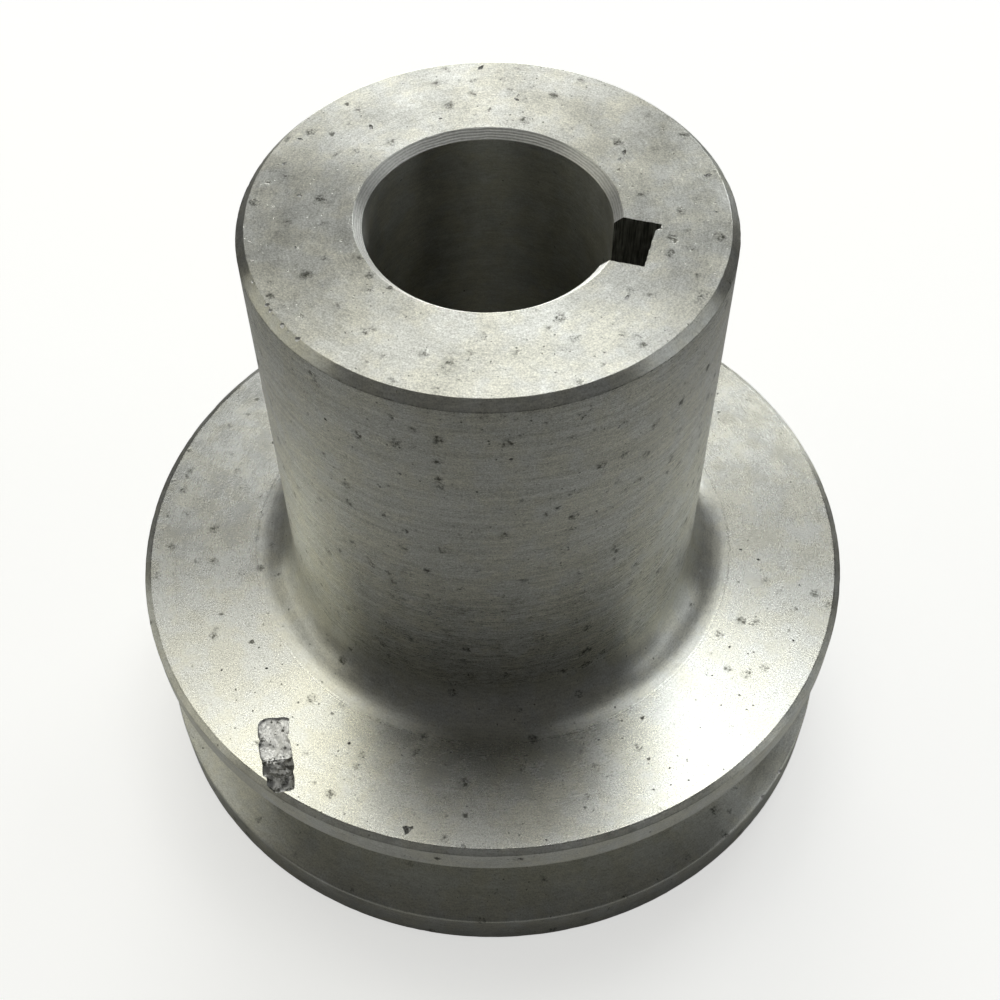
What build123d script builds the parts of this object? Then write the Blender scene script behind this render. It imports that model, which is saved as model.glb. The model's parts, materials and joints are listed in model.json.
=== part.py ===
from build123d import *
import math
import os

# A single-groove V-belt pulley with a long plain hub, turned from one aluminium billet, and the
# two socket set screws that lock it on its shaft.
#
# Frame, in millimetres: +Z runs along the bore towards the hub's end, the origin is on the bore's
# axis at the sheave's bottom face, and the keyway faces +X. The keyed screw is above the keyway,
# on +X, and the shaft screw is a quarter turn from it, on +Y.

INCH = 25.4

# Bore and keyway
bore_diameter = 1.0 * INCH
bore_chamfer = 0.9
keyway_width = 0.25 * INCH
keyway_depth = 4.0  # from the bore's wall to the keyway's floor, on the keyway's centre line
key_height_above_shaft = 2.9  # a square key of the keyway's width, seated in its shaft

# Hub
hub_diameter = 2.0 * INCH
hub_projection = 2.125 * INCH  # from the sheave's upper face to the hub's end
hub_end_chamfer = 0.95
hub_root_fillet = 0.2 * INCH

# Sheave
sheave_diameter = 3.55 * INCH
face_width = 1.0 * INCH
rim_bevel_radial = 0.8
rim_bevel_axial = 0.4
upper_land = 0.15 * INCH  # the sheave's upper face down to the groove's mouth

# Groove for a classical B-section belt
groove_width = 0.637 * INCH  # at the mouth
groove_angle = 34.0  # between the flanks
groove_depth = 14.0
groove_edge_break = 0.4
groove_floor_fillet = 0.5

# Set screws, 1/4-20 cup point, drawn as plain cylinders of the thread's outer diameter
thread_diameter = 0.25 * INCH
thread_clearance = 0.05  # radial, between a screw and its hole
thread_end_chamfer = 0.5
cup_rim_diameter = 3.3
cup_angle = 118.0
socket_across_flats = 0.125 * INCH
socket_depth = 2.6
key_screw_length = 0.375 * INCH
shaft_screw_length = 0.5 * INCH
screw_setback = 0.8  # from a backed-off screw's tip to the mouth of its hole in the bore
hole_countersink = 0.4

bore_radius = bore_diameter / 2
hub_radius = hub_diameter / 2
rim_radius = sheave_diameter / 2
keyway_floor = bore_radius + keyway_depth
overall_length = face_width + hub_projection

groove_top = face_width - upper_land
groove_bottom = groove_top - groove_width
groove_middle = (groove_top + groove_bottom) / 2
floor_radius = rim_radius - groove_depth
floor_half_width = groove_width / 2 - groove_depth * math.tan(math.radians(groove_angle / 2))

thread_radius = thread_diameter / 2
screw_hole_radius = thread_radius + thread_clearance

KEY_SIDE = 0.0  # directions about +Z, in degrees from +X
SHAFT_SIDE = 90.0


def outward(side):
    """The unit vector that points out of the pulley on a side."""
    angle = math.radians(side)
    return Vector(math.cos(angle), math.sin(angle), 0)


def nearest_corner(section, point):
    """The section's vertex at a point."""
    return section.vertices().sort_by_distance(Vector(*point))[0]


# One-piece sheave and hub
with BuildPart() as pulley_body:
    groove_mouth = [(rim_radius, groove_bottom), (rim_radius, groove_top)]
    groove_floor = [
        (floor_radius, groove_middle - floor_half_width),
        (floor_radius, groove_middle + floor_half_width),
    ]
    hub_root = (hub_radius, face_width)
    with BuildSketch(Plane.XZ) as half_section:
        with BuildLine():
            Polyline(
                (bore_radius, bore_chamfer),
                (bore_radius + bore_chamfer, 0),
                (rim_radius - rim_bevel_radial, 0),
                (rim_radius, rim_bevel_axial),
                groove_mouth[0],
                groove_floor[0],
                groove_floor[1],
                groove_mouth[1],
                (rim_radius, face_width - rim_bevel_axial),
                (rim_radius - rim_bevel_radial, face_width),
                hub_root,
                (hub_radius, overall_length - hub_end_chamfer),
                (hub_radius - hub_end_chamfer, overall_length),
                (bore_radius + bore_chamfer, overall_length),
                (bore_radius, overall_length - bore_chamfer),
                close=True,
            )
        make_face()
        fillet(nearest_corner(half_section, hub_root), hub_root_fillet)
        fillet([nearest_corner(half_section, point) for point in groove_floor], groove_floor_fillet)
        chamfer([nearest_corner(half_section, point) for point in groove_mouth], groove_edge_break)
    revolve(axis=Axis.Z)

    # The keyway is broached through the whole length.
    with BuildSketch(Plane.XY):
        Rectangle(keyway_floor, keyway_width, align=(Align.MIN, Align.CENTER))
    extrude(amount=overall_length, mode=Mode.SUBTRACT)

    # A tapped hole goes from the groove's floor to the bore on each screw's side.
    for side in (KEY_SIDE, SHAFT_SIDE):
        mouth = outward(side) * floor_radius + Vector(0, 0, groove_middle)
        with Locations(Plane(origin=mouth, z_dir=outward(side))):
            CounterSinkHole(
                radius=screw_hole_radius,
                counter_sink_radius=screw_hole_radius + hole_countersink,
                depth=floor_radius,
                counter_sink_angle=90,
            )
pulley_body.part.label = "pulley_body"


def make_set_screw(side, tip_distance, length):
    """A cup-point socket set screw whose tip is tip_distance from the bore's axis."""
    cup_radius = cup_rim_diameter / 2
    cup_depth = cup_radius / math.tan(math.radians(cup_angle / 2))
    tip_taper = thread_radius - cup_radius
    middle = Vector(0, 0, groove_middle)
    lengthwise = Plane(origin=middle, x_dir=outward(side), z_dir=outward(side + 90))
    head = middle + outward(side) * (tip_distance + length)
    with BuildPart() as screw:
        with BuildSketch(lengthwise):
            with BuildLine():
                Polyline(
                    (tip_distance + cup_depth, 0),
                    (tip_distance, cup_radius),
                    (tip_distance + tip_taper, thread_radius),
                    (tip_distance + length - thread_end_chamfer, thread_radius),
                    (tip_distance + length, thread_radius - thread_end_chamfer),
                    (tip_distance + length, 0),
                    close=True,
                )
            make_face()
        revolve(axis=Axis(middle, outward(side)))
        with BuildSketch(Plane(origin=head, z_dir=outward(side))):
            RegularPolygon(socket_across_flats / 2, 6, major_radius=False)
        extrude(amount=-socket_depth, mode=Mode.SUBTRACT)
    return screw


# The screws stand backed off, clear of the bore and the keyway, so that a keyed shaft slides in.
key_set_screw = make_set_screw(KEY_SIDE, keyway_floor + screw_setback, key_screw_length)
key_set_screw.part.label = "key_set_screw"

shaft_set_screw = make_set_screw(SHAFT_SIDE, bore_radius + screw_setback, shaft_screw_length)
shaft_set_screw.part.label = "shaft_set_screw"

os.makedirs("parts", exist_ok=True)
export_step(pulley_body.part, "parts/pulley_body.step")
export_step(key_set_screw.part, "parts/key_set_screw.step")
export_step(shaft_set_screw.part, "parts/shaft_set_screw.step")

# Travels of the two screws from their places above, for the joints
key_screw_in = screw_setback + keyway_depth - key_height_above_shaft
key_screw_out = floor_radius - (keyway_floor + screw_setback + key_screw_length)
shaft_screw_in = screw_setback
shaft_screw_out = floor_radius - (bore_radius + screw_setback + shaft_screw_length)
print(f"groove floor radius {floor_radius:.3f}, groove middle {groove_middle:.3f}")
print(f"key screw travel {key_screw_in:.3f} in, {key_screw_out:.3f} out")
print(f"shaft screw travel {shaft_screw_in:.3f} in, {shaft_screw_out:.3f} out")
print(f"body volume {pulley_body.part.volume / 1000:.1f} cm3, length {overall_length:.3f}")
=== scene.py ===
import json
import math
import random

import bmesh
import bpy
from mathutils import Matrix, Vector, noise


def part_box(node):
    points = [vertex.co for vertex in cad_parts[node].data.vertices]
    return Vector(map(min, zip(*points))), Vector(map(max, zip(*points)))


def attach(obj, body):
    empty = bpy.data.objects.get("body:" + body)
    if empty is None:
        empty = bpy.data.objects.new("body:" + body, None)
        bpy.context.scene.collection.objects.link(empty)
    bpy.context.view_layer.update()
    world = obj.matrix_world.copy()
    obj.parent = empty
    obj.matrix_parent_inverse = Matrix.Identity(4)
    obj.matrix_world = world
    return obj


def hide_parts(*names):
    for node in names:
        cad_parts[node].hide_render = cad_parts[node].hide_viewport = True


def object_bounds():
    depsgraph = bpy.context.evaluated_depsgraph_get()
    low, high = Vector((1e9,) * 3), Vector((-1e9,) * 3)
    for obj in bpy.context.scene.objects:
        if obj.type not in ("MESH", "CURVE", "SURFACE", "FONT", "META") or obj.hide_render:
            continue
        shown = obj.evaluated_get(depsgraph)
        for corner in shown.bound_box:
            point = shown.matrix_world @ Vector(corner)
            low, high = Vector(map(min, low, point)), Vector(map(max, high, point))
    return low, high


# Looks of the V-belt pulley. Lengths are in metres in the part's own frame: +Z along the bore
# towards the hub's end, origin on the bore's axis at the sheave's bottom face, keyway on +X.

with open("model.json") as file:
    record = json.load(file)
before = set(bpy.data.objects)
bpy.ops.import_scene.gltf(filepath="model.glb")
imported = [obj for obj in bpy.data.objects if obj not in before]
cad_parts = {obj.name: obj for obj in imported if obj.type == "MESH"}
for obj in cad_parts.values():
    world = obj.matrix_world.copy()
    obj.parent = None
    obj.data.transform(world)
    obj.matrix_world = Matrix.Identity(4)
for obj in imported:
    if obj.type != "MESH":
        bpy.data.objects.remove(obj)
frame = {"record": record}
cad_low, cad_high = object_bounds()

MM = 0.001
FULL_TURN = 2 * math.pi

# ---------------------------------------------------------------- sizes

mounts = {mount["name"]: mount for mount in frame["record"]["mounts"]}
length = cad_high.z
rim_radius = cad_high.x
bore_radius = mounts["bore"]["dims"]["r_mm"] * MM
face_height = mounts["flange_face"]["pos_m"][2]
groove_middle = mounts["belt_groove"]["pos_m"][2]

# The sizes below repeat the CAD source's: a change there is made here too.
hub_radius = 2 * bore_radius
hub_root_fillet = 5.08 * MM
hub_end_chamfer = 0.95 * MM
bore_chamfer = 0.9 * MM
rim_bevel_radial = 0.8 * MM
rim_bevel_axial = 0.4 * MM

groove_half_width = 8.09 * MM
groove_depth = 14.0 * MM
groove_half_angle = math.radians(17)
groove_edge_break = 0.4 * MM
groove_floor_fillet = 0.5 * MM
floor_radius = rim_radius - groove_depth
floor_half_width = groove_half_width - groove_depth * math.tan(groove_half_angle)

# The flange was faced up to just outside the hub's root, which leaves a shallow step there.
facing_step_radius = hub_radius + hub_root_fillet + 0.3 * MM
facing_step = 0.03 * MM
facing_step_rounding = 0.01 * MM

keyway_half_width = 3.175 * MM
keyway_floor = bore_radius + 4.0 * MM

thread_pitch = 1.27 * MM  # 20 threads to the inch
thread_radius = 3.175 * MM
hole_radius = 3.225 * MM
hole_countersink = 0.4 * MM

EDGE = 0.14 * MM  # rounding of a worn machined edge
BODY_SEGMENTS = 360  # round the pulley
THREAD_STEPS = 60  # round a thread
RINGS_PER_TURN = 8  # along a thread


# ---------------------------------------------------------------- mesh helpers


def link(name, mesh):
    """An object with this mesh, in the scene."""
    thing = bpy.data.objects.new(name, mesh)
    bpy.context.scene.collection.objects.link(thing)
    return thing


def finish_mesh(build, name, *materials):
    """A mesh from a bmesh, with its faces turned outwards and its materials on."""
    bmesh.ops.recalc_face_normals(build, faces=build.faces)
    mesh = bpy.data.meshes.new(name)
    build.to_mesh(mesh)
    build.free()
    for material in materials:
        mesh.materials.append(material)
    return mesh


def rounded_outline(corners, spacing):
    """Points of a closed outline of (radius, height), from corners of (radius, height, rounding).

    A support point next to each arc keeps the shading of the straight stretches flat.
    """
    arc_step = math.radians(9)
    support = 0.12 * MM
    arcs = []
    count = len(corners)
    for i, (r, z, rounding) in enumerate(corners):
        corner = Vector((r, z))
        before = (Vector(corners[i - 1][:2]) - corner).normalized()
        after = (Vector(corners[(i + 1) % count][:2]) - corner).normalized()
        half_angle = before.angle(after) / 2
        reach = rounding / math.tan(half_angle)
        centre = corner + (before + after).normalized() * rounding / math.sin(half_angle)
        start = corner + before * reach - centre
        sweep = (corner + after * reach - centre).angle_signed(start)
        steps = max(2, math.ceil(abs(sweep) / arc_step))
        arc = []
        for step in range(steps + 1):
            turn = Matrix.Rotation(sweep * step / steps, 2)
            arc.append(centre + turn @ start)
        arcs.append(arc)
    outline = []
    for i, arc in enumerate(arcs):
        outline += arc
        here, there = arc[-1], arcs[(i + 1) % count][0]
        run = (there - here).length
        if run < 3 * support:
            continue
        inner = run - 2 * support
        parts = max(1, round(inner / spacing))
        for part in range(parts + 1):
            outline.append(here.lerp(there, (support + inner * part / parts) / run))
    return outline


def revolved_mesh(name, outline, segments, surface_at):
    """The closed outline turned once round Z. surface_at(r, z) gives each face's material index."""
    build = bmesh.new()
    rings = []
    middles = [(outline[i] + outline[(i + 1) % len(outline)]) / 2 for i in range(len(outline))]
    slots = [surface_at(*middle) for middle in middles]
    for step in range(segments):
        angle = FULL_TURN * step / segments
        c, s = math.cos(angle), math.sin(angle)
        rings.append([build.verts.new((r * c, r * s, z)) for r, z in outline])
    for step, ring in enumerate(rings):
        beside = rings[(step + 1) % segments]
        for i in range(len(outline)):
            j = (i + 1) % len(outline)
            face = build.faces.new((ring[i], beside[i], beside[j], ring[j]))
            face.material_index = slots[i]
    return finish_mesh(build, name)


def cut(piece, cutter):
    """Takes the cutter out of the piece. The new faces keep the cutter's material."""
    change = piece.modifiers.new("cut", "BOOLEAN")
    change.operation = "DIFFERENCE"
    change.solver = "EXACT"
    change.material_mode = "TRANSFER"
    change.object = cutter
    graph = bpy.context.evaluated_depsgraph_get()
    result = bpy.data.meshes.new_from_object(piece.evaluated_get(graph), depsgraph=graph)
    piece.modifiers.clear()
    old = piece.data
    piece.data = result
    bpy.data.meshes.remove(old)
    bpy.data.objects.remove(cutter)


def drop_slivers(piece):
    """Closes up the edges shorter than a thousandth of a millimetre that the cuts leave."""
    build = bmesh.new()
    build.from_mesh(piece.data)
    bmesh.ops.dissolve_degenerate(build, dist=0.001 * MM, edges=build.edges)
    build.to_mesh(piece.data)
    build.free()


def shade(piece, sharp_degrees=32, own_materials=1):
    """Smooth shading, broken at edges sharper than the angle and round what a cutter with its own
    material took out.
    """
    build = bmesh.new()
    build.from_mesh(piece.data)
    limit = math.radians(sharp_degrees)
    for face in build.faces:
        face.smooth = True
    for edge in build.edges:
        kinds = {max(face.material_index, own_materials - 1) for face in edge.link_faces}
        edge.smooth = edge.calc_face_angle(0) < limit and len(kinds) == 1
    build.to_mesh(piece.data)
    build.free()


# ---------------------------------------------------------------- materials


class Nodes:
    """A material's node tree, with short calls for the nodes used here."""

    def __init__(self, name):
        self.material = bpy.data.materials.new(name)
        self.material.use_nodes = True
        self.tree = self.material.node_tree
        self.shader = self.tree.nodes["Principled BSDF"]

    def node(self, kind, inputs=None, **settings):
        made = self.tree.nodes.new(kind)
        for key, value in settings.items():
            setattr(made, key, value)
        for key, value in (inputs or {}).items():
            self.feed(made.inputs[key], value)
        return made

    def feed(self, socket, value):
        if isinstance(value, bpy.types.NodeSocket):
            self.tree.links.new(value, socket)
        else:
            socket.default_value = value

    def math(self, operation, *values, clamp=False):
        made = self.node("ShaderNodeMath", operation=operation, use_clamp=clamp)
        for socket, value in zip(made.inputs, values):
            self.feed(socket, value)
        return made.outputs[0]

    def vector_math(self, operation, inputs, output="Vector"):
        return self.node("ShaderNodeVectorMath", inputs, operation=operation).outputs[output]

    def combine(self, x, y, z):
        return self.node("ShaderNodeCombineXYZ", {0: x, 1: y, 2: z}).outputs[0]

    def place(self):
        """The point in the object's own frame."""
        return self.node("ShaderNodeTexCoord").outputs["Object"]

    def noise(self, vector, scale, detail=2.0, roughness=0.5, w=None):
        made = self.node("ShaderNodeTexNoise", noise_dimensions="3D" if w is None else "4D")
        inputs = {"Vector": vector, "Scale": scale, "Detail": detail, "Roughness": roughness}
        if w is not None:
            inputs["W"] = w
        for key, value in inputs.items():
            self.feed(made.inputs[key], value)
        return made.outputs["Fac"]

    def pores(self, place, wander, cell, share, reach, where, softness=1.0):
        """Ragged spots, one in each of a share of the cells, up to reach cells in radius.

        wander is noise that makes their outlines ragged. where is 1 to keep their size and less to
        shrink them. softness is how far their edges fade.
        """
        shift = self.vector_math("SCALE", {0: wander, "Scale": 0.5 * cell})
        ragged = self.vector_math("ADD", {0: place, 1: shift})
        cells = self.node("ShaderNodeTexVoronoi", {"Vector": ragged, "Scale": 1 / cell})
        pick = self.node("ShaderNodeSeparateColor", {0: cells.outputs["Color"]}).outputs[0]
        radius = self.range(pick, 1 - share, 1.0, 0.0, reach, smooth=False)
        depth = self.math("SUBTRACT", self.math("MULTIPLY", radius, where), cells.outputs["Distance"])
        return self.range(depth, -0.06 * softness, 0.08 * softness)

    def range(self, value, low, high, to_low=0.0, to_high=1.0, smooth=True):
        kind = "SMOOTHSTEP" if smooth else "LINEAR"
        inputs = {0: value, 1: low, 2: high, 3: to_low, 4: to_high}
        return self.node("ShaderNodeMapRange", inputs, interpolation_type=kind).outputs[0]

    def mix(self, factor, a, b):
        """Colour a at factor 0 and b at 1. 6, 7 and 2 are the Mix node's colour sockets."""
        made = self.node("ShaderNodeMix", {0: factor, 6: a, 7: b}, data_type="RGBA")
        return made.outputs[2]

    def set_finish(self, base, metallic, roughness):
        self.feed(self.shader.inputs["Base Color"], base)
        self.shader.inputs["Metallic"].default_value = metallic
        self.feed(self.shader.inputs["Roughness"], roughness)

    def turn_round_z(self, anisotropy):
        """Tool marks that run round Z, so that highlights spread across them."""
        self.shader.inputs["Anisotropic"].default_value = anisotropy
        self.shader.inputs["Anisotropic Rotation"].default_value = 0.25
        tangent = self.node("ShaderNodeTangent", direction_type="RADIAL", axis="Z").outputs[0]
        self.feed(self.shader.inputs["Tangent"], tangent)

    def set_bump(self, strength, distance, height):
        inputs = {"Strength": strength, "Distance": distance, "Height": height}
        self.feed(self.shader.inputs["Normal"], self.node("ShaderNodeBump", inputs).outputs[0])


def machined_aluminium(
    name, roughness, anisotropy, streaks=0.0, sand=0.0, clouds=0.0, porosity=0.0, relief=0.3
):
    """Lathe-cut aluminium.

    streaks: contrast of the short scratches that run round Z. sand: contrast of the fine grain.
    clouds: contrast of the broad stains. porosity: how much of the metal has dark pores and
    smudges. relief: strength of the bump.
    """
    n = Nodes(name)
    place = n.place()
    split = n.node("ShaderNodeSeparateXYZ", {0: place}).outputs
    radius = n.vector_math("LENGTH", {0: n.combine(split[0], split[1], 0.0)}, "Value")
    # The radius as the fourth dimension makes the marks on a flat face run round Z too.
    mark_place = n.vector_math("MULTIPLY", {0: place, 1: (1100, 1100, 6000)})
    marks = n.noise(mark_place, 1.0, 3.0, 0.65, w=n.math("MULTIPLY", radius, 6000))
    band_place = n.vector_math("MULTIPLY", {0: place, 1: (90, 90, 1500)})
    bands = n.noise(band_place, 1.0, 2.0, 0.5, w=n.math("MULTIPLY", radius, 1500))
    grain = n.noise(place, 5200, 2.0, 0.75)
    cloud = n.noise(place, 230, 4.0, 0.65)

    dull = (0.42, 0.42, 0.375, 1)
    grime = (0.12, 0.12, 0.10, 1)
    tone = n.math("MULTIPLY_ADD", n.math("SUBTRACT", marks, 0.5), streaks, 0.5)
    tone = n.math("MULTIPLY_ADD", n.math("SUBTRACT", bands, 0.5), 0.4 * streaks, tone)
    tone = n.math("MULTIPLY_ADD", n.math("SUBTRACT", grain, 0.5), sand, tone)
    tone = n.math("MULTIPLY_ADD", n.math("SUBTRACT", cloud, 0.5), clouds, tone, clamp=True)
    tarnish = n.range(n.noise(place, 260, 3.0, 0.6), 0.38, 0.62)
    polished = n.mix(tarnish, (0.99, 1.0, 0.96, 1), (1.0, 0.985, 0.87, 1))
    base = n.mix(tone, dull, polished)

    cluster = n.range(n.noise(place, 150, 2.0, 0.5), 0.42, 0.62)
    wander = n.node("ShaderNodeTexNoise", {"Vector": place, "Scale": 2600, "Detail": 2.0})
    wander = n.vector_math("SUBTRACT", {0: wander.outputs["Color"], 1: (0.5, 0.5, 0.5)})
    large_pore = n.pores(place, wander, 1.9 * MM, 0.5 * porosity, 0.22, cluster)
    small_pore = n.pores(place, wander, 0.62 * MM, 0.45 * porosity, 0.20, 1.0)
    pore = n.math("MAXIMUM", large_pore, small_pore)
    halo = n.pores(place, wander, 2.1 * MM, 0.9 * porosity, 0.33, 1.0, softness=2.0)
    speckle = n.range(n.noise(place, 2300, 3.0, 0.7), 0.40, 0.62)
    smudge = n.math("MULTIPLY", halo, n.math("MULTIPLY_ADD", speckle, 0.9, 0.1), clamp=True)
    base = n.mix(smudge, base, grime)
    base = n.mix(n.math("MULTIPLY", pore, 0.7), base, grime)

    swing = 0.03 * streaks
    rough = n.range(marks, 0.3, 0.7, roughness - swing, roughness + swing)
    rough = n.math("MULTIPLY_ADD", n.math("SUBTRACT", cloud, 0.5), 0.12, rough)
    n.set_finish(base, 1.0, n.math("MULTIPLY_ADD", pore, 0.3, rough))
    n.turn_round_z(anisotropy)

    height = n.math("ADD", n.math("MULTIPLY", marks, 0.5), n.math("MULTIPLY", bands, 0.8))
    height = n.math("MULTIPLY_ADD", grain, 0.25 + 0.3 * sand, height)
    height = n.math("SUBTRACT", height, n.math("MULTIPLY", pore, 3.0))
    n.set_bump(relief, 0.03 * MM, height)
    return n.material


def rough_chamfer():
    """A chamfer cut with a coarse feed: fine ridges round the bore."""
    ridge_pitch = 0.2 * MM
    n = Nodes("rough_chamfer")
    place = n.place()
    split = n.node("ShaderNodeSeparateXYZ", {0: place}).outputs
    wander = n.math("MULTIPLY", n.noise(place, 300, 2.0, 0.5), 0.3 * MM)
    turn = n.math("MULTIPLY", n.math("ADD", split[2], wander), FULL_TURN / ridge_pitch)
    ridges = n.math("MULTIPLY_ADD", n.math("SINE", turn), 0.5, 0.5)
    grain = n.noise(place, 3200, 2.0, 0.7)
    tone = n.math("MULTIPLY_ADD", grain, 0.8, n.math("MULTIPLY", ridges, 0.4))
    base = n.mix(tone, (0.5, 0.5, 0.46, 1), (1.0, 1.0, 0.97, 1))
    n.set_finish(base, 0.9, n.range(ridges, 0.0, 1.0, 0.55, 0.46))
    n.turn_round_z(0.85)
    n.set_bump(0.35, 0.05 * MM, n.math("ADD", ridges, n.math("MULTIPLY", grain, 0.8)))
    return n.material


def broached_aluminium():
    """The keyway's walls: dark, with the broach's lines along Z."""
    n = Nodes("broached_keyway")
    place = n.place()
    drawn = n.vector_math("MULTIPLY", {0: place, 1: (6500, 6500, 350)})
    lines = n.noise(drawn, 1.0, 3.0, 0.65)
    stain = n.noise(place, 700, 3.0, 0.6)
    tone = n.math("MULTIPLY", n.range(lines, 0.3, 0.7), stain)
    base = n.mix(tone, (0.14, 0.14, 0.125, 1), (0.75, 0.75, 0.69, 1))
    n.set_finish(base, 1.0, n.range(lines, 0.3, 0.7, 0.42, 0.6))
    n.set_bump(0.5, 0.05 * MM, lines)
    return n.material


def cast_hollow(name, bright_share, dark_tone, bright_tone, metallic, relief=0.6):
    """The unmachined inside of a flaw: crumbly, with a share of bright crystals among the oxide."""
    n = Nodes(name)
    place = n.place()
    lumps = n.noise(place, 1500, 3.0, 0.6)
    crystals = n.noise(place, 4200, 2.0, 0.6)
    mixed = n.math("MULTIPLY_ADD", crystals, 0.35, n.math("MULTIPLY", lumps, 0.65))
    edge = 0.68 - 0.36 * bright_share
    tone = n.range(mixed, edge - 0.05, edge + 0.05)
    dark = (dark_tone, dark_tone, 0.9 * dark_tone, 1)
    bright = (bright_tone, bright_tone, 0.98 * bright_tone, 1)
    n.set_finish(n.mix(tone, dark, bright), metallic, n.range(crystals, 0.3, 0.7, 0.35, 0.6))
    n.set_bump(relief, 0.08 * MM, n.math("ADD", lumps, n.math("MULTIPLY", crystals, 0.5)))
    return n.material


def black_oxide():
    """Blackened steel with a worn brown sheen."""
    n = Nodes("black_oxide")
    place = n.place()
    worn = n.noise(place, 900, 4.0, 0.65)
    grain = n.noise(place, 5000, 2.0, 0.6)
    base = n.mix(n.range(worn, 0.5, 0.72), (0.035, 0.034, 0.036, 1), (0.17, 0.15, 0.13, 1))
    n.set_finish(base, 0.85, n.range(grain, 0.3, 0.7, 0.32, 0.52))
    n.set_bump(0.3, 0.02 * MM, n.math("MULTIPLY_ADD", worn, 0.5, grain))
    return n.material


SIDE = machined_aluminium("turned_side", 0.31, 0.86, streaks=2.0, sand=1.8, clouds=0.6, porosity=0.7)
RIM = machined_aluminium("turned_rim", 0.33, 0.85, streaks=0.8, sand=1.2, clouds=0.6, porosity=0.3)
FLANGE = machined_aluminium(
    "turned_flange", 0.27, 0.90, streaks=0.4, sand=1.8, clouds=0.6, porosity=0.5, relief=0.22
)
END_FACE = machined_aluminium(
    "turned_end_face", 0.40, 0.62, streaks=0.7, sand=1.7, clouds=0.9, porosity=1.0
)
BORE = machined_aluminium("bored_wall", 0.42, 0.75, streaks=0.7, sand=0.7, clouds=0.6, porosity=0.1)
CHAMFER = rough_chamfer()
BROACHED = broached_aluminium()
TAPPED = machined_aluminium("tapped_hole", 0.34, 0.0, streaks=0.5, sand=0.5, clouds=0.4)
PORE = cast_hollow("casting_pore", 0.45, 0.22, 0.75, 0.4)
FLAW_BRIGHT = cast_hollow("casting_flaw_bright", 0.71, 0.10, 1.0, 0.9, relief=0.2)
FLAW_DARK = cast_hollow("casting_flaw_dark", 0.55, 0.12, 0.45, 0.9)
CHIP = cast_hollow("fresh_chip", 1.0, 0.5, 0.97, 1.0)
SCREW = black_oxide()
BODY_MATERIALS = [SIDE, RIM, FLANGE, END_FACE, BORE, CHAMFER]


# ---------------------------------------------------------------- pulley body


def pulley_outline():
    """The pulley's half section, as in the CAD, with worn edges and the facing step."""
    low_mouth = groove_middle - groove_half_width
    high_mouth = groove_middle + groove_half_width
    corners = [
        (bore_radius, bore_chamfer, EDGE),
        (bore_radius + bore_chamfer, 0, EDGE),
        (rim_radius - rim_bevel_radial, 0, EDGE),
        (rim_radius, rim_bevel_axial, EDGE),
        (rim_radius, low_mouth, groove_edge_break),
        (floor_radius, groove_middle - floor_half_width, groove_floor_fillet),
        (floor_radius, groove_middle + floor_half_width, groove_floor_fillet),
        (rim_radius, high_mouth, groove_edge_break),
        (rim_radius, face_height - rim_bevel_axial, EDGE),
        (rim_radius - rim_bevel_radial, face_height, EDGE),
        (facing_step_radius + facing_step, face_height, facing_step_rounding),
        (facing_step_radius, face_height + facing_step, facing_step_rounding),
        (hub_radius, face_height + facing_step, hub_root_fillet),
        (hub_radius, length - hub_end_chamfer, EDGE),
        (hub_radius - hub_end_chamfer, length, EDGE),
        (bore_radius + bore_chamfer, length, EDGE),
        (bore_radius, length - bore_chamfer, EDGE),
    ]
    return rounded_outline(corners, spacing=3 * MM)


def surface_at(r, z):
    """The index in BODY_MATERIALS for a point of the outline."""
    near = 0.03 * MM
    if r < bore_radius + near:
        return BODY_MATERIALS.index(BORE)
    if r < bore_radius + bore_chamfer - near:
        return BODY_MATERIALS.index(CHAMFER)
    if z > length - near or z < near:
        return BODY_MATERIALS.index(END_FACE)
    if abs(z - face_height) < near + facing_step and r > hub_radius + hub_root_fillet:
        return BODY_MATERIALS.index(FLANGE)
    if abs(r - hub_radius) < near:
        return BODY_MATERIALS.index(SIDE)
    return BODY_MATERIALS.index(RIM)


def wear_edges(mesh):
    """Nibbles the sharp outer edges, so that they aren't perfect circles."""
    edges = [
        (hub_radius - hub_end_chamfer, length),
        (hub_radius, length - hub_end_chamfer),
        (rim_radius - rim_bevel_radial, face_height),
        (rim_radius, face_height - rim_bevel_axial),
        (bore_radius + bore_chamfer, length),
        (rim_radius, groove_middle - groove_half_width),
        (rim_radius, rim_bevel_axial),
    ]
    reach = 0.35 * MM
    bite = 0.07 * MM
    for vertex in mesh.vertices:
        r, z = math.hypot(vertex.co.x, vertex.co.y), vertex.co.z
        for edge_r, edge_z in edges:
            away = math.hypot(r - edge_r, z - edge_z)
            if away < reach:
                worn = noise.noise(vertex.co * 900) + 0.5 * noise.noise(vertex.co * 2600)
                shrink = 1 - bite * max(0.0, worn) * (1 - away / reach) / r
                vertex.co.x *= shrink
                vertex.co.y *= shrink
                break


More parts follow.
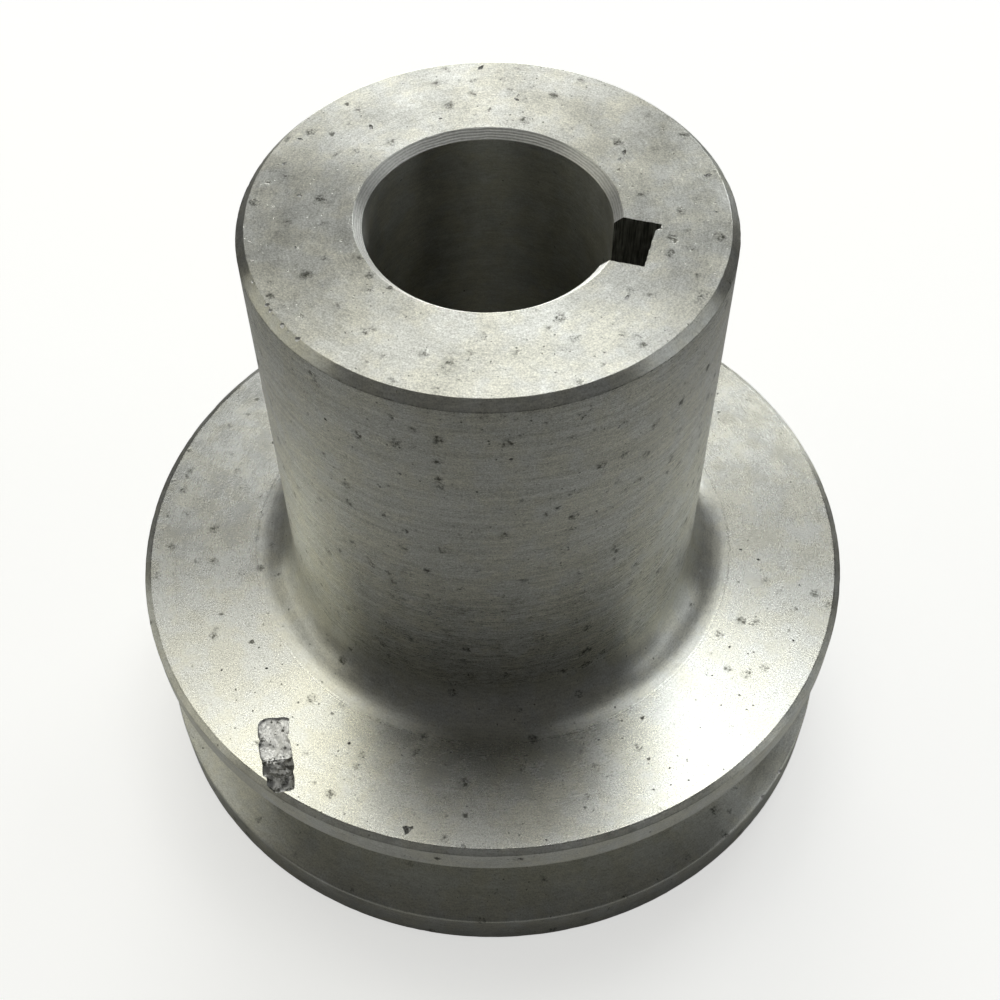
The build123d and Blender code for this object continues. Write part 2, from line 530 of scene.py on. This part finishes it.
def keyway_cutter():
    """A prism with the broach's slightly ragged section."""
    draw = random.Random(4)
    section = []
    step = 0.3 * MM
    wander = 0.035 * MM

    def side(start, end):
        run = Vector(end) - Vector(start)
        across = Vector((-run.y, run.x)).normalized()
        steps = max(1, round(run.length / step))
        for i in range(steps):
            section.append(Vector(start) + run * i / steps + across * draw.uniform(-wander, wander))

    # The broach left a small notch in one corner of the keyway's floor.
    notch_floor = keyway_floor + 0.45 * MM
    notch_start = keyway_half_width - 0.7 * MM
    notch_slope_end = keyway_half_width - 0.55 * MM
    side((0, -keyway_half_width), (keyway_floor, -keyway_half_width))
    side((keyway_floor, -keyway_half_width), (keyway_floor, notch_start))
    side((notch_floor, notch_slope_end), (notch_floor, keyway_half_width))
    side((notch_floor, keyway_half_width), (0, keyway_half_width))
    build = bmesh.new()
    low = [build.verts.new((p.x, p.y, -MM)) for p in section]
    face = build.faces.new(low)
    top = bmesh.ops.extrude_face_region(build, geom=[face])["geom"]
    moved = [v for v in top if isinstance(v, bmesh.types.BMVert)]
    bmesh.ops.translate(build, verts=moved, vec=(0, 0, length + 2 * MM))
    return link("keyway_cutter", finish_mesh(build, "keyway_cutter", BROACHED))


def ringed_mesh(name, side, rings, *materials):
    """A solid of rings across a radial axis through the groove's middle, closed to a point at each end.

    side is the axis's direction about +Z, in radians. A ring is (distance from Z, radius at each
    angle), or for an end (distance from Z, None).
    """
    along = Vector((math.cos(side), math.sin(side), 0))
    across = Vector((-along.y, along.x, 0))
    middle = Vector((0, 0, groove_middle))
    up = Vector((0, 0, 1))
    build = bmesh.new()
    made = []
    for distance, radii in rings:
        centre = middle + along * distance
        if radii is None:
            made.append([build.verts.new(centre)])
            continue
        ring = []
        for step, r in enumerate(radii):
            angle = FULL_TURN * step / len(radii)
            outward = across * math.cos(angle) + up * math.sin(angle)
            ring.append(build.verts.new(centre + outward * r))
        made.append(ring)
    for here, there in zip(made, made[1:]):
        count = max(len(here), len(there))
        for i in range(count):
            j = (i + 1) % count
            near = [here[i % len(here)], here[j % len(here)]]
            far = [there[j % len(there)], there[i % len(there)]]
            build.faces.new(list(dict.fromkeys(near + far)))
    return link(name, finish_mesh(build, name, *materials))


def thread_wave(distance, step):
    """0 on the thread's crest to 1 in its root, at a place along the axis and round it."""
    turn = (distance / thread_pitch - step / THREAD_STEPS) % 1.0
    return min(1.0, max(0.0, 1.35 * (1 - abs(2 * turn - 1)) - 0.15))


def tapped_hole_cutter(side):
    """A threaded, countersunk hole from the groove's floor to the bore."""
    start = bore_radius - 1.5 * MM
    end = floor_radius + 0.6 * MM
    thread_depth = 0.34 * MM
    steps = math.ceil((end - start) / (thread_pitch / RINGS_PER_TURN))
    rings = [(start, None)]
    for i in range(steps + 1):
        distance = start + (end - start) * i / steps
        opening = hole_radius + hole_countersink + min(0.0, distance - floor_radius)
        waves = [thread_wave(distance, k) for k in range(THREAD_STEPS)]
        rings.append((distance, [max(opening, hole_radius + thread_depth * wave) for wave in waves]))
    rings.append((end, None))
    return ringed_mesh("tapped_hole_cutter", side, rings, TAPPED)


def make_set_screw(name, node, body, side):
    """A cup-point set screw with a helical thread and a hexagon socket, in the CAD screw's place.

    side is its direction about +Z: 0 for +X, 90 for +Y.
    """
    low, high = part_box(node)
    tip, head = (low.x, high.x) if side == 0 else (low.y, high.y)
    thread_depth = 0.55 * MM
    cup_rim = 1.65 * MM
    cup_half_angle = math.radians(59)
    cup_depth = cup_rim / math.tan(cup_half_angle)
    end_chamfer = 0.5 * MM
    socket_half_flats = 1.5875 * MM
    socket_depth = 2.6 * MM
    socket_lead = 0.15 * MM
    socket_lead_radius = socket_half_flats + 0.35 * MM
    drill_point = 0.5 * MM

    def circle(r):
        return [r] * THREAD_STEPS

    def hexagon(half_flats):
        sixth = FULL_TURN / 6
        angles = [FULL_TURN * k / THREAD_STEPS for k in range(THREAD_STEPS)]
        return [half_flats / math.cos((a + sixth / 2) % sixth - sixth / 2) for a in angles]

    rings = [
        (tip + cup_depth, None),
        (tip + 0.05 * MM, circle(cup_rim - 0.08 * MM)),
        (tip, circle(cup_rim)),
    ]
    steps = math.ceil((head - tip) / (thread_pitch / RINGS_PER_TURN))
    for i in range(1, steps + 1):
        distance = tip + (head - tip) * i / steps
        taper = min(cup_rim + distance - tip, thread_radius - end_chamfer + head - distance)
        limit = min(thread_radius, taper)
        waves = [thread_wave(distance, k) for k in range(THREAD_STEPS)]
        rings.append((distance, [min(limit, thread_radius - thread_depth * wave) for wave in waves]))
    rings += [
        (head, circle(socket_lead_radius)),
        (head - socket_lead, hexagon(socket_half_flats)),
        (head - socket_depth, hexagon(socket_half_flats)),
        (head - socket_depth - drill_point, None),
    ]
    screw = ringed_mesh(name, math.radians(side), rings, SCREW)
    shade(screw, sharp_degrees=35)
    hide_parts(node)
    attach(screw, body)


def add_lump(build, place, size, seed, material_index, spin=0.0, flatten=(1, 1, 1), lobes=0.0):
    """A ragged pebble in the bmesh, stretched by flatten before it is turned about Z.

    lobes is how far it swells in three directions, as a share of its size.
    """
    made = bmesh.ops.create_icosphere(build, subdivisions=2, radius=1.0)["verts"]
    turn = Matrix.Rotation(spin, 3, "Z")
    offset = Vector((seed * 1.7, seed * 0.9, seed * 2.3))
    for vertex in made:
        swell = 1 + 0.45 * noise.noise(vertex.co * 1.4 + offset)
        swell += 0.18 * noise.noise(vertex.co * 4 + offset)
        swell += lobes * math.cos(3 * math.atan2(vertex.co.y, vertex.co.x))
        stretched = Vector(c * f for c, f in zip(vertex.co * swell, flatten))
        vertex.co = place + turn @ stretched * size
    for face in {face for vertex in made for face in vertex.link_faces}:
        face.material_index = material_index


def on_pulley(azimuth, r, z):
    """The point at an azimuth in degrees from +X, a radius and a height."""
    a = math.radians(azimuth)
    return Vector((r * math.cos(a), r * math.sin(a), z))


def flaw_cutter():
    """Casting flaws and knocks: pores, chips on the hub's end, nicks on the rim, and a torn pit."""
    draw = random.Random(11)
    build = bmesh.new()
    pore, chip = 0, 1
    taken = []

    def place_lump(azimuth, r, z, size, kind, flatten):
        """A lump at a place, unless it would touch one placed before."""
        place = on_pulley(azimuth, r, z)
        if any((place - other).length < 1.5 * (size + other_size) for other, other_size in taken):
            return
        taken.append((place, size))
        add_lump(build, place, size, draw.uniform(0, 100), kind, draw.uniform(0, FULL_TURN), flatten)

    keyway_side = 16
    for _ in range(22):
        azimuth = draw.uniform(keyway_side, 360 - keyway_side)
        size = draw.uniform(0.10, 0.30) * MM
        place_lump(azimuth, draw.uniform(15.2, 23.6) * MM, length, size, pore, (1.5, 0.8, 0.35))
    for _ in range(24):
        azimuth = draw.uniform(0, 360)
        size = draw.uniform(0.10, 0.22) * MM
        place_lump(azimuth, hub_radius, draw.uniform(33, 77) * MM, size, pore, (1.0, 1.0, 0.8))
    for _ in range(20):
        azimuth = draw.uniform(0, 360)
        size = draw.uniform(0.10, 0.20) * MM
        place_lump(azimuth, draw.uniform(31.8, 43.2) * MM, face_height, size, pore, (1.2, 0.9, 0.6))

    chipped_edge = hub_radius - hub_end_chamfer
    for azimuth in (-121.5, -123, -124.8, -127, -128.6, -131, -132.5, -134.5, -143):
        size = draw.uniform(0.12, 0.3) * MM
        r = chipped_edge + draw.uniform(0, 0.3) * MM
        place_lump(azimuth, r, length - 0.1 * MM, size, chip, (1.3, 1.0, 0.8))
    low_mouth = groove_middle - groove_half_width
    for azimuth in (-17, -23):
        place_lump(azimuth, rim_radius, low_mouth, 0.45 * MM, chip, (1.0, 1.0, 0.8))
    place_lump(-79, 44.1 * MM, face_height, 0.24 * MM, pore, (1.3, 0.9, 0.4))
    torn = on_pulley(-87.8, 42.9 * MM, face_height)
    add_lump(build, torn, 0.62 * MM, 3.0, pore, math.radians(35), (1.1, 0.8, 0.3), lobes=0.42)
    return link("flaw_cutter", finish_mesh(build, "flaw_cutter", PORE, CHIP))


def torn_patch_cutter():
    """A long ragged patch of unmachined casting in the flange, out to the rim's bevel.

    Its inner part is a bright slope that deepens outwards, and its outer part is dark and crumbly.
    """
    draw = random.Random(5)
    inner, outer = Vector((-18.3, -32.8)) * MM, Vector((-14.4, -42.4)) * MM
    half_width = 1.8 * MM
    bright_part = 0.55
    steps_along, steps_across = 60, 22
    run = outer - inner
    aside = Vector((-run.y, run.x)).normalized()
    above_face = 0.9 * MM
    border_height = 0.3 * MM
    build = bmesh.new()
    lid, bed = [], []
    for i in range(steps_along + 1):
        along = i / steps_along
        u = 2 * along - 1
        bow = 0.2 * MM * math.sin(3.0 * u)
        lid.append([])
        bed.append([])
        for j in range(steps_across + 1):
            v = 2 * j / steps_across - 1
            spot = inner + run * along + aside * (half_width * v * 1.1 + bow)
            flat = Vector((spot.x, spot.y, 0))
            wobble = noise.noise(flat * 700)
            from_ends = abs(u * (1 + 0.1 * wobble)) ** 6
            from_sides = abs(v * (1 + 0.35 * wobble)) ** 5
            middle = 1 - (from_ends + from_sides) ** 0.8
            ragged = noise.noise(flat * 420) + 0.7 * noise.noise(flat * 1150)
            ragged += 0.3 * noise.noise(flat * 2900)
            if along < bright_part:
                depth = (0.9 * min(middle, 0.2) - 0.04 + 1.1 * along + 0.1 * ragged) * MM
            else:
                depth = (0.6 * middle - 0.04 + 0.34 * ragged) * MM
            if i in (0, steps_along) or j in (0, steps_across):
                depth = -border_height
            lid[-1].append(build.verts.new((spot.x, spot.y, face_height + above_face)))
            bed[-1].append(build.verts.new((spot.x, spot.y, face_height - depth)))
    bright, dark = 0, 1
    for i in range(steps_along):
        for j in range(steps_across):
            kind = bright if i + draw.randint(-3, 3) < bright_part * steps_along else dark
            for sheet in (lid, bed):
                corners = (sheet[i][j], sheet[i + 1][j], sheet[i + 1][j + 1], sheet[i][j + 1])
                build.faces.new(corners).material_index = kind
    border = [(i, 0) for i in range(steps_along)]
    border += [(steps_along, j) for j in range(steps_across)]
    border += [(i, steps_across) for i in range(steps_along, 0, -1)]
    border += [(0, j) for j in range(steps_across, 0, -1)]
    for (i, j), (k, m) in zip(border, border[1:] + border[:1]):
        build.faces.new((lid[i][j], lid[k][m], bed[k][m], bed[i][j]))
    mesh = finish_mesh(build, "torn_patch_cutter", FLAW_BRIGHT, FLAW_DARK)
    return link("torn_patch_cutter", mesh)


def make_body():
    """The sheave and hub in one piece, with the flaws, the keyway and the tapped holes cut in."""
    mesh = revolved_mesh("pulley", pulley_outline(), BODY_SEGMENTS, surface_at)
    wear_edges(mesh)
    for material in BODY_MATERIALS:
        mesh.materials.append(material)
    body = link("pulley", mesh)
    cut(body, torn_patch_cutter())
    cut(body, flaw_cutter())
    cut(body, keyway_cutter())
    for side in (0, 90):
        cut(body, tapped_hole_cutter(math.radians(side)))
    drop_slivers(body)
    shade(body, own_materials=len(BODY_MATERIALS))
    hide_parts("pulley_body")
    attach(body, "pulley")


make_body()
make_set_screw("key_screw_threaded", "key_set_screw", "key_screw", 0)
make_set_screw("shaft_screw_threaded", "shaft_set_screw", "shaft_screw", 90)


# ---------------------------------------------------------------- studio


def make_floor():
    """A pale floor with an even glow for camera rays. In reflections it has painted light: painted
    shade close round the pulley's foot, a painted bright ring just beyond, and painted dimming further
    out.
    """
    n = Nodes("floor_with_painted_reflections")
    rays = n.node("ShaderNodeLightPath").outputs
    camera_ray, glossy_ray = rays["Is Camera Ray"], rays["Is Glossy Ray"]
    distance = n.vector_math("LENGTH", {0: n.place()}, "Value")
    # Painted shade close round the pulley's foot and painted dimming further out, seen only in
    # reflections; level is the floor's painted brightness in reflections.
    painted_shade_round_pulley = n.range(distance, 46 * MM, 60 * MM, 0.4, 1.0)
    painted_dimming_outwards = n.range(distance, 70 * MM, 140 * MM, 1.0, 0.12)
    level = n.math("MULTIPLY", painted_shade_round_pulley, painted_dimming_outwards)
    pale = (0.82, 0.82, 0.81, 1)
    painted_reflection_colour = n.mix(level, (0, 0, 0, 1), pale)
    n.feed(n.shader.inputs["Base Color"], n.mix(glossy_ray, pale, painted_reflection_colour))
    n.shader.inputs["Roughness"].default_value = 0.9
    n.shader.inputs["Specular IOR Level"].default_value = 0.1
    n.shader.inputs["Emission Color"].default_value = (1, 1, 0.985, 1)
    # Painted glow that the floor shows only in reflections, on top of its even glow for camera rays.
    painted_reflection_glow = n.math("MULTIPLY", n.math("MULTIPLY", level, glossy_ray), 0.06)
    even_glow_and_painted_reflection_glow = n.math("ADD", n.math("MULTIPLY", camera_ray, 0.6), painted_reflection_glow)
    n.feed(n.shader.inputs["Emission Strength"], even_glow_and_painted_reflection_glow)
    mesh = bpy.data.meshes.new("floor_with_painted_reflections")
    build = bmesh.new()
    bmesh.ops.create_circle(build, cap_ends=True, segments=96, radius=3.0)
    build.to_mesh(mesh)
    build.free()
    mesh.materials.append(n.material)
    floor = link("floor_with_painted_reflections", mesh)


def make_softbox(name, azimuth, elevation, width, height, brightness, colour):
    """A soft light that faces the pulley.

    Azimuth is about +Z from +X. Width and height are as seen from the pulley. All four are in
    degrees. brightness is the light's radiance.
    """
    distance = 1.5
    a, e = math.radians(azimuth), math.radians(elevation)
    away = Vector((math.cos(a) * math.cos(e), math.sin(a) * math.cos(e), math.sin(e)))
    lamp = bpy.data.lights.new(name, "AREA")
    lamp.shape = "RECTANGLE"
    lamp.size = 2 * distance * math.tan(math.radians(width / 2))
    lamp.size_y = 2 * distance * math.tan(math.radians(height / 2))
    lamp.energy = brightness * math.pi * lamp.size * lamp.size_y
    lamp.color = colour
    thing = bpy.data.objects.new(name, lamp)
    bpy.context.scene.collection.objects.link(thing)
    thing.location = away * distance + Vector((0, 0, length / 2))
    thing.rotation_mode = "QUATERNION"
    thing.rotation_quaternion = away.to_track_quat("Z", "Y")
    thing.visible_camera = False


def make_world():
    """White behind the set, and a dim room in reflections."""
    world = bpy.data.worlds.new("studio")
    bpy.context.scene.world = world
    world.use_nodes = True
    tree = world.node_tree
    back = tree.nodes["Background"]
    back.inputs["Color"].default_value = (1, 1, 0.985, 1)
    rays = tree.nodes.new("ShaderNodeLightPath")
    strength = tree.nodes.new("ShaderNodeMapRange")
    strength.inputs["To Min"].default_value = 0.058
    strength.inputs["To Max"].default_value = 0.92
    tree.links.new(rays.outputs["Is Camera Ray"], strength.inputs["Value"])
    tree.links.new(strength.outputs["Result"], back.inputs["Strength"])


def make_camera():
    """The camera stands in front of the hub, a little to the keyway's side, and looks down on it."""
    turn = math.radians(-74)
    reach = 116.16 * MM
    above_hub = 101.965 * MM
    place = Vector((reach * math.cos(turn), reach * math.sin(turn), length + above_hub))
    pitch, yaw, roll = math.radians(56.512), math.radians(0.439), math.radians(-0.470)
    heading = turn + math.pi - yaw
    level = Vector((math.cos(heading), math.sin(heading), 0))
    forward = level * math.cos(pitch) - Vector((0, 0, math.sin(pitch)))
    right = forward.cross(Vector((0, 0, 1))).normalized()
    up = right.cross(forward)
    right, up = (
        right * math.cos(roll) + up * math.sin(roll),
        up * math.cos(roll) - right * math.sin(roll),
    )
    lens = bpy.data.cameras.new("camera")
    lens.sensor_width = 36
    lens.lens = 1.487 * lens.sensor_width
    lens.shift_y = 0.12
    lens.clip_start, lens.clip_end = 0.01, 20
    camera = bpy.data.objects.new("camera", lens)
    bpy.context.scene.collection.objects.link(camera)
    camera.matrix_world = Matrix((
        (right.x, up.x, -forward.x, place.x),
        (right.y, up.y, -forward.y, place.y),
        (right.z, up.z, -forward.z, place.z),
        (0, 0, 0, 1),
    ))
    bpy.context.scene.camera = camera


WARM = (1.0, 0.99, 0.87)
WHITE = (1.0, 1.0, 0.97)
COOL = (0.97, 1.0, 1.0)

make_floor()
make_world()
make_softbox("low_back", 110, 11, 28, 21, 6.7, WHITE)
make_softbox("side_back", 76, 24, 16, 12, 4.8, COOL)
make_softbox("low_left", 184, 16, 30, 24, 0.7, WARM)
make_softbox("low_right", 18, 14, 26, 22, 0.7, COOL)
make_softbox("left_front", 204, 31, 16, 14, 1.0, WARM)
make_softbox("right_front", 3, 32, 16, 14, 1.0, COOL)
make_softbox("right_back", 82, 63, 24, 16, 1.9, COOL)
make_softbox("middle_back", 114, 61, 34, 14, 1.4, WHITE)
make_softbox("left_shoulder", 140, 66, 16, 10, 1.8, WARM)
make_softbox("right_shoulder", 68, 67, 14, 10, 1.2, COOL)
make_softbox("left_back", 163, 56, 18, 22, 0.9, WARM)
make_softbox("overhead", 103, 77, 26, 14, 1.6, WHITE)
make_camera()
bpy.context.scene.view_settings.view_transform = "Standard"
